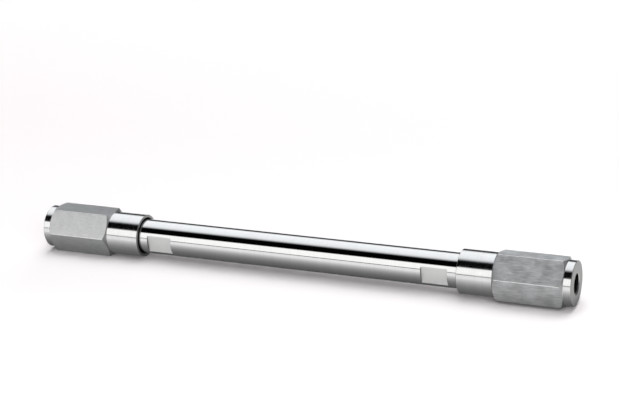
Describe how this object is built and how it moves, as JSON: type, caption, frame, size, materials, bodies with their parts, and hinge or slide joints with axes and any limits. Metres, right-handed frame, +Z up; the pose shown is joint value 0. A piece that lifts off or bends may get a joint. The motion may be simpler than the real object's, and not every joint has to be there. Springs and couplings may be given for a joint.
{
  "type": "hplc column",
  "caption": "Liquid chromatography column: polished steel tube of packed bed with a hexagon end nut, frit and flow distributor at each end, and a port in each end face.",
  "frame": {"origin": "on the surface that the column lies on, under the middle of its axis", "axes": "+X along the column from the inlet end to the outlet end, +Z up"},
  "size_m": [0.12, 0.011, 0.0103],
  "materials": {
    "tube_steel": "stainless steel, mirror polished, with satin milled flats",
    "nut_steel": "stainless steel, satin hexagon flats and polished turned ends",
    "distributor_steel": "stainless steel, fine turned",
    "sintered_steel": "sintered stainless steel, matt and porous",
    "polymer": "natural polyether ketone, satin",
    "packing": "packed white porous particles"
  },
  "bodies": {
    "column": {"column_tube": "tube_steel", "packed_bed": "packing", "inlet_frit": "sintered_steel", "inlet_frit_ring": "polymer", "outlet_frit": "sintered_steel", "outlet_frit_ring": "polymer"},
    "inlet_stack": {"inlet_distributor": "distributor_steel", "inlet_seal_washer": "polymer"},
    "inlet_nut": {"inlet_end_nut": "nut_steel"},
    "outlet_stack": {"outlet_distributor": "distributor_steel", "outlet_seal_washer": "polymer"},
    "outlet_nut": {"outlet_end_nut": "nut_steel"}
  },
  "joints": [
    {"name": "inlet_travel", "type": "slide", "parent": "column", "child": "inlet_stack", "axis": [-1, 0, 0], "range_m": [0, 0.006]},
    {"name": "inlet_turn", "type": "hinge", "parent": "inlet_stack", "child": "inlet_nut", "pos_m": [-0.05115, 0, 0.00514], "axis": [-1, 0, 0], "range_deg": [0, 2880]},
    {"name": "outlet_travel", "type": "slide", "parent": "column", "child": "outlet_stack", "axis": [1, 0, 0], "range_m": [0, 0.006]},
    {"name": "outlet_turn", "type": "hinge", "parent": "outlet_stack", "child": "outlet_nut", "pos_m": [0.05115, 0, 0.00514], "axis": [1, 0, 0], "range_deg": [0, 2880]}
  ],
  "couplings": [
    {"joint": "inlet_travel", "follows": "inlet_turn", "m_per_rad": 0.00011937},
    {"joint": "outlet_travel", "follows": "outlet_turn", "m_per_rad": 0.00011937}
  ]
}
